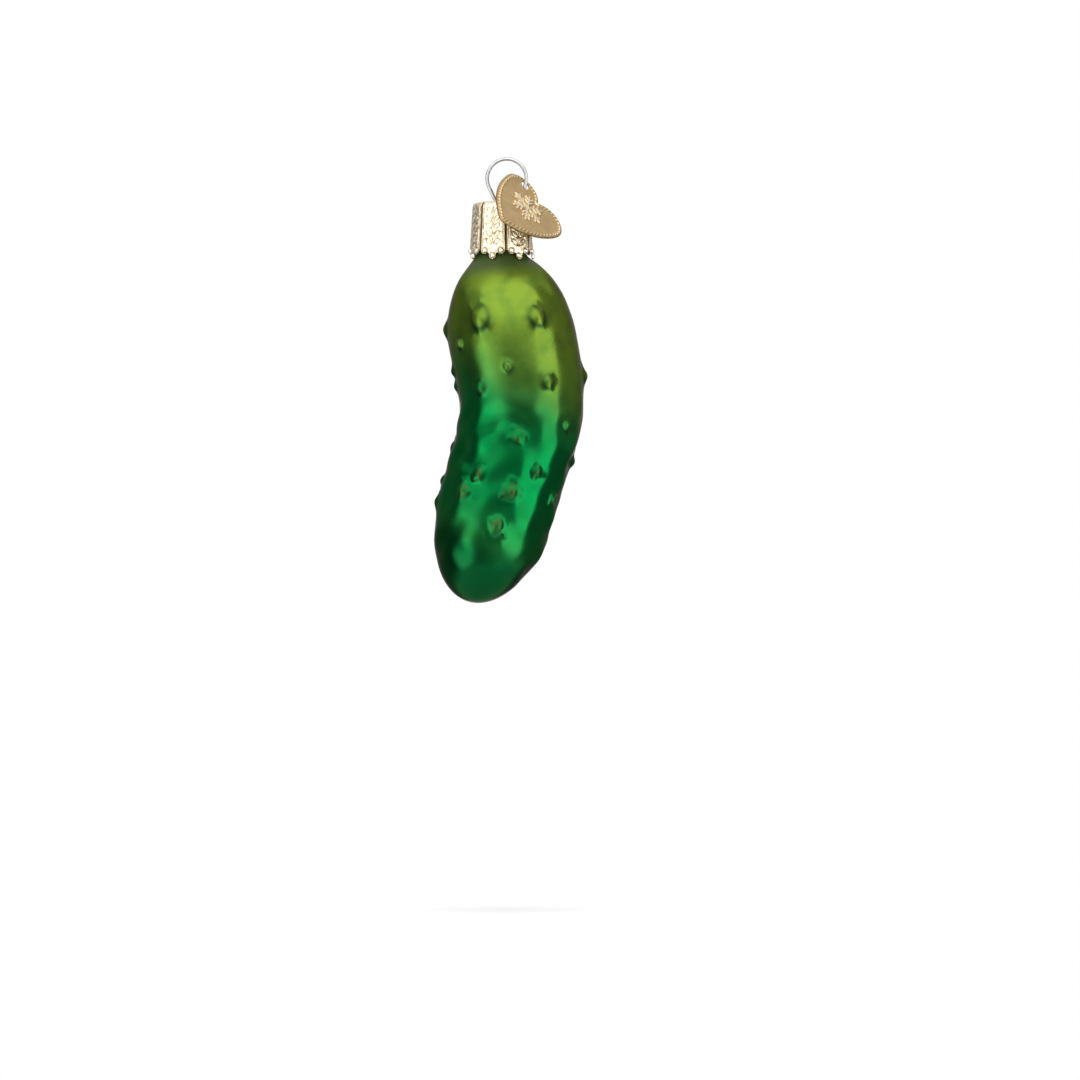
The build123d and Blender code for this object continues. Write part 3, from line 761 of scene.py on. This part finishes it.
class Shading:
    """A material's nodes, with short ways to add and join them."""

    def __init__(self, name):
        self.material = bpy.data.materials.new(name)
        self.material.use_nodes = True
        self.nodes = self.material.node_tree.nodes
        self.links = self.material.node_tree.links
        self.surface = self.nodes["Principled BSDF"]

    def add(self, kind, **values):
        """A new node of a kind, with its settings."""
        node = self.nodes.new(kind)
        for name, value in values.items():
            setattr(node, name, value)
        return node

    def join(self, output, target):
        """A link from one node's output to another's input."""
        self.links.new(output, target)

    def places(self):
        """The places of the surface in the piece's own frame."""
        return self.add("ShaderNodeTexCoord").outputs["Object"]

    def noise(self, wave, detail=2.0):
        """Uneven values whose waves are about a number of millimetres long."""
        node = self.add("ShaderNodeTexNoise")
        node.inputs["Scale"].default_value = 1 / (wave * MM)
        node.inputs["Detail"].default_value = detail
        self.join(self.places(), node.inputs["Vector"])
        return node.outputs["Fac"]

    def mottle(self, tones, wave, detail=2.0):
        """A colour that wanders between a darker and a paler one."""
        return self.ramp(self.noise(wave, detail), list(zip((NOISE_LOW, NOISE_HIGH), tones)))

    def uneven(self, values, wave):
        """A value that wanders between a low and a high one."""
        return self.remap(self.noise(wave), NOISE_LOW, NOISE_HIGH, *values)

    def mark(self, name):
        """The values that a mesh has at its points under a name."""
        return self.add("ShaderNodeAttribute", attribute_name=name).outputs["Fac"]

    def remap(self, value, low, high, to_low, to_high):
        """A value taken from one range to another, and kept inside it."""
        node = self.add("ShaderNodeMapRange")
        numbers = {"From Min": low, "From Max": high, "To Min": to_low, "To Max": to_high}
        for name, number in numbers.items():
            node.inputs[name].default_value = number
        self.join(value, node.inputs["Value"])
        return node.outputs["Result"]

    def combine(self, operation, first, second):
        """The sum or the product of two values."""
        node = self.add("ShaderNodeMath", operation=operation)
        self.join(first, node.inputs[0])
        self.join(second, node.inputs[1])
        return node.outputs[0]

    def ramp(self, value, stops):
        """A colour for each value, from pairs of place and colour."""
        node = self.add("ShaderNodeValToRGB")
        node.color_ramp.interpolation = "B_SPLINE"
        elements = node.color_ramp.elements
        while len(elements) < len(stops):
            elements.new(0.5)
        for element, (place, colour) in zip(elements, stops):
            element.position = place
            element.color = (*colour, 1)
        self.join(value, node.inputs["Fac"])
        return node.outputs["Color"]

    def mix(self, share, first, second):
        """A mix of two colours, each a socket or a fixed colour."""
        node = self.add("ShaderNodeMix", data_type="RGBA")
        self.join(share, node.inputs["Factor"])
        for name, colour in (("A", first), ("B", second)):
            socket = [s for s in node.inputs if s.name == name and s.type == "RGBA"][0]
            if isinstance(colour, tuple):
                socket.default_value = (*colour, 1)
            else:
                self.join(colour, socket)
        return [s for s in node.outputs if s.type == "RGBA"][0]

    def bump(self, value, height):
        """A bump of about a number of millimetres."""
        node = self.add("ShaderNodeBump")
        node.inputs["Distance"].default_value = height * MM
        self.join(value, node.inputs["Height"])
        self.join(node.outputs["Normal"], self.surface.inputs["Normal"])

    def set(self, **values):
        """Fixed values for the surface."""
        for name, value in values.items():
            self.surface.inputs[name.replace("_", " ")].default_value = value

    def drive(self, name, output):
        """A value of the surface that comes from another node."""
        self.join(output, self.surface.inputs[name])


def lacquer_material():
    """Satin metallic green lacquer over silvered glass, sprayed yellow-green on the upper half, with
    painted shade towards the lower tip, under the cap and round the feet of the warts.
    """
    look = Shading("green_lacquer")
    slant = look.add("ShaderNodeVectorMath", operation="DOT_PRODUCT")
    slant.inputs[1].default_value = LACQUER_UP
    look.join(look.places(), slant.inputs[0])
    height = look.remap(slant.outputs["Value"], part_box("glass_body")[0].z, SPINE_TOP * MM, 0, 1)
    spray = look.remap(look.noise(SPRAY_WAVE, detail=3.0), 0, 1, -SPRAY_WANDER, SPRAY_WANDER)
    # the colour table holds painted shade towards the lower tip and a painted highlight tint just above it
    green = look.ramp(look.combine("ADD", height, spray), LACQUER)
    cloud = look.remap(look.noise(CLOUD_WAVE, detail=4.0), *CLOUD_NOISE, 0, CLOUD_MOST)
    high_cloud = look.combine("MULTIPLY", cloud, look.remap(height, *CLOUD_HEIGHTS, CLOUD_FAINT, 1))
    clouded = look.mix(high_cloud, green, CLOUD_COLOUR)
    # painted shade round the feet of the warts
    pooled = look.mix(look.remap(look.mark("wart_foot"), 0, 1, 0, POOL_MOST), clouded, POOL_COLOUR)
    wart = look.remap(look.mark("wart"), *WART_FINISH, 0, 1)
    low_wart = look.combine("MULTIPLY", wart, look.remap(height, *FLECK_HEIGHTS, FLECK_MOST, 0))
    speckle = look.remap(look.noise(FLECK_WAVE, detail=3.0), *FLECK_NOISE, 0, 1)
    fleck = look.combine("MULTIPLY", low_wart, speckle)
    warty = look.mix(fleck, pooled, FLECK_COLOUR)
    gap = look.add("ShaderNodeVectorMath", operation="DISTANCE")
    gap.inputs[1].default_value = (CAP_X * MM, 0, (CAP_TOP - CAP_HEIGHT) * MM)
    look.join(look.places(), gap.inputs[0])
    # painted shade under the cap: darker and less metallic near its foot
    by_cap = look.remap(gap.outputs["Value"], CAP_SHADE[0] * MM, CAP_SHADE[1] * MM, 1, 0)
    dull_cap = look.remap(gap.outputs["Value"], CAP_DULLING[0] * MM, CAP_DULLING[1] * MM, COAT_DULLING, 0)
    look.drive("Base Color", look.mix(by_cap, warty, COAT_COLOUR))
    satin = look.uneven(SATIN, SATIN_WAVE)
    dull = look.combine("ADD", look.remap(wart, 0, 1, 0, WART_DULLING), dull_cap)
    look.drive("Roughness", look.combine("ADD", satin, dull))
    look.drive("Metallic", look.remap(by_cap, 0, 1, 1.0, COAT_METAL))
    look.set(Specular_Tint=LACQUER_GLOSS)
    look.bump(look.noise(LACQUER_WAVE, detail=3.0), LACQUER_BUMP)
    return look.material


def silvering_material():
    """The silvered inside of the glass and its bare neck."""
    look = Shading("silvered_glass")
    look.drive("Base Color", look.mottle(SILVER, wave=2.5))
    look.drive("Roughness", look.uneven(SILVER_ROUGHNESS, wave=1.2))
    look.set(Metallic=1.0)
    look.bump(look.noise(wave=1.5), height=0.02)
    return look.material


def gold_material():
    """Pale gold foil finish, brown in its recesses and bright where it is rubbed."""
    look = Shading("pale_gold")
    ground = look.mottle(GOLD, wave=1.6, detail=3.0)
    fleck = look.remap(look.noise(wave=0.6, detail=3.0), *GOLD_FLECK_NOISE, 0, GOLD_FLECK_MOST)
    recess = look.remap(look.mark("relief"), *GOLD_RECESS_DEPTHS, GOLD_RECESS_MOST, 0)
    worn = look.remap(look.mark("relief"), *GOLD_WORN_HEIGHTS, 0, GOLD_WORN_MOST)
    flecked = look.mix(fleck, ground, GOLD_FLECKS)
    warm = look.mix(recess, flecked, GOLD_RECESS)
    look.drive("Base Color", look.mix(worn, warm, GOLD_WORN))
    look.drive("Roughness", look.uneven(GOLD_ROUGHNESS, wave=0.8))
    look.set(Metallic=1.0)
    look.bump(look.noise(wave=0.25), height=0.012)
    return look.material


def brass_material():
    """Satin aged brass, with painted shade in the stamped recesses and along the bevelled edge, and a
    painted highlight on the raised stamping.
    """
    look = Shading("satin_brass")
    ground = look.mottle(BRASS, wave=2.2, detail=4.0)
    # painted shade in the recesses and a painted highlight on the raised stamping
    edge = look.remap(look.mark("relief"), *BRASS_RECESS_DEPTHS, BRASS_RECESS_MOST, 0)
    worn = look.remap(look.mark("relief"), *BRASS_WORN_HEIGHTS, 0, BRASS_WORN_MOST)
    dark = look.mix(edge, ground, BRASS_RECESS)
    look.drive("Base Color", look.mix(worn, dark, BRASS_WORN))
    look.drive("Roughness", look.uneven(BRASS_ROUGHNESS, wave=0.6))
    look.set(Metallic=1.0)
    look.bump(look.noise(wave=0.2), height=0.01)
    return look.material


def wire_material():
    """Bright drawn steel wire with faint tarnish."""
    look = Shading("bright_wire")
    look.drive("Base Color", look.mottle(STEEL, wave=1.4, detail=3.0))
    look.drive("Roughness", look.uneven(STEEL_ROUGHNESS, wave=0.5))
    look.set(Metallic=1.0)
    look.bump(look.noise(wave=0.15), height=0.006)
    return look.material


def ray_share(nodes, links):
    """1 for rays that see the background straight, in a gloss or through glass, and 0 for the others."""
    path = nodes.new("ShaderNodeLightPath")
    first = nodes.new("ShaderNodeMath")
    first.operation = "MAXIMUM"
    second = nodes.new("ShaderNodeMath")
    second.operation = "MAXIMUM"
    links.new(path.outputs["Is Camera Ray"], first.inputs[0])
    links.new(path.outputs["Is Glossy Ray"], first.inputs[1])
    links.new(first.outputs[0], second.inputs[0])
    links.new(path.outputs["Is Transmission Ray"], second.inputs[1])
    return second.outputs[0]


def make_world():
    """A white background and a softer fill light."""
    world = bpy.data.worlds.new("studio")
    bpy.context.scene.world = world
    world.use_nodes = True
    nodes, links = world.node_tree.nodes, world.node_tree.links
    strength = nodes.new("ShaderNodeMapRange")
    strength.inputs["To Min"].default_value = WORLD_LIGHT[0]
    strength.inputs["To Max"].default_value = WORLD_LIGHT[1]
    links.new(ray_share(nodes, links), strength.inputs["Value"])
    nodes["Background"].inputs["Color"].default_value = WHITE
    links.new(strength.outputs["Result"], nodes["Background"].inputs["Strength"])


def make_floor():
    """A plain pale floor some way below the hanging ornament."""
    low = cad_box[0].z - FLOOR_DROP * MM
    radius = FLOOR_RADIUS * MM
    bpy.ops.mesh.primitive_circle_add(vertices=FLOOR_CORNERS, radius=radius, fill_type="NGON",
                                      location=(0, 0, low))
    floor = bpy.context.object
    floor.name = "floor"
    look = Shading("pale_floor")
    look.drive("Base Color", look.mottle(FLOOR_PAINT, wave=60.0))
    look.set(Roughness=0.9, Emission_Color=WHITE)
    away = look.add("ShaderNodeVectorMath", operation="LENGTH")
    look.join(look.places(), away.inputs[0])
    glow = look.remap(away.outputs["Value"], 0, radius, *FLOOR_GLOW)
    look.drive("Emission Strength", look.combine("MULTIPLY", glow, ray_share(look.nodes, look.links)))
    floor.data.materials.append(look.material)


def make_screen():
    """A domed screen round the set, out of the picture: two light panels, and darker cloth elsewhere."""
    azimuths, tops, low, middle, high = zip(*SCREEN)
    turns = np.unique(np.concatenate([azimuths, np.arange(azimuths[0], azimuths[-1], SCREEN_STEP)]))
    share = np.linspace(0, 1, SCREEN_ROWS)[:, None]
    elevation = SCREEN_LOW + (np.interp(turns, azimuths, tops) - SCREEN_LOW) * share
    low, middle, high = (np.interp(turns, azimuths, light) for light in (low, middle, high))
    glow = low + (middle - low) * smooth(*SCREEN_MIDWAY, elevation)
    glow += (high - middle) * smooth(*SCREEN_UPPER, share)
    above_foot = smooth(SCREEN_LOW, SCREEN_LOW + SCREEN_FADE, elevation)
    glow = SCREEN_FOOT_LIGHT + (glow - SCREEN_FOOT_LIGHT) * above_foot
    rise = np.radians(elevation)
    turn = np.radians(turns) + 0 * rise
    out = np.stack([np.cos(rise) * np.sin(turn), -np.cos(rise) * np.cos(turn), np.sin(rise)], axis=-1)
    points = SCREEN_RADIUS * out.reshape(-1, 3) + [0, 0, FRAME_MIDDLE[1]]
    look = Shading("screen_cloth")
    look.drive("Base Color", look.mottle(SCREEN_CLOTH, wave=20.0))
    look.set(Roughness=1.0, Emission_Color=WHITE)
    look.drive("Emission Strength", look.mark("glow"))
    faces = grid_faces(SCREEN_ROWS, len(turns))
    screen = make_piece("screen", points, faces, [look.material], {"glow": glow.ravel()})
    screen.visible_camera = False


def make_soft_box():
    """A soft box that faces the ornament from above, its azimuth measured from the front towards +X."""
    target = Vector((0, 0, FRAME_MIDDLE[1] * MM * SOFT_BOX_AIM))
    turn, rise = SOFT_BOX_AZIMUTH, SOFT_BOX_ELEVATION
    out = Vector((math.sin(turn) * math.cos(rise), -math.cos(turn) * math.cos(rise), math.sin(rise)))
    width, height = (side * MM for side in SOFT_BOX_SIZE)
    lamp = bpy.data.lights.new("soft_box_top", "AREA")
    lamp.shape = "RECTANGLE"
    lamp.size, lamp.size_y = width, height
    lamp.energy = SOFT_BOX_RADIANCE * math.pi * width * height
    box = bpy.data.objects.new("soft_box_top", lamp)
    box.location = target + out * SOFT_BOX_DISTANCE * MM
    box.rotation_euler = out.to_track_quat("Z", "Y").to_euler()
    box.visible_camera = False
    bpy.context.scene.collection.objects.link(box)


def make_camera():
    """A level camera with a long lens, at the photograph's scale."""
    lens = bpy.data.cameras.new("camera")
    lens.lens = LENS
    lens.sensor_width = SENSOR
    lens.clip_start, lens.clip_end = (reach * MM for reach in CAMERA_RANGE)
    camera = bpy.data.objects.new("camera", lens)
    distance = FRAME_WIDTH * LENS / SENSOR
    camera.location = (FRAME_MIDDLE[0] * MM, -distance * MM, FRAME_MIDDLE[1] * MM)
    camera.rotation_euler = (math.pi / 2, 0, 0)
    bpy.context.scene.collection.objects.link(camera)
    bpy.context.scene.camera = camera


def make_studio():
    """White set with a screen round it and a soft box above."""
    make_world()
    make_floor()
    make_screen()
    make_soft_box()
    make_camera()


def dress():
    """Puts the finished pieces in place of the solids, each on its body."""
    pickle = make_pickle(lacquer_material(), silvering_material())
    cap = make_cap(gold_material())
    tag = make_tag(brass_material())
    placed = (
        (pickle, "pickle", "glass_body", "lacquered_glass"),
        (cap, "cap", "crown_cap", "gold_cap"),
        (tag, "tag", "heart_tag", "brass_tag"),
    )
    for piece, body, node, slot in placed:
        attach(piece, body)
        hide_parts(node)
    wire = frame["nodes"]["hanger_clip"]
    wire.data.materials.clear()
    wire.data.materials.append(wire_material())


bpy.context.scene.view_settings.view_transform = "Standard"
make_studio()
dress()
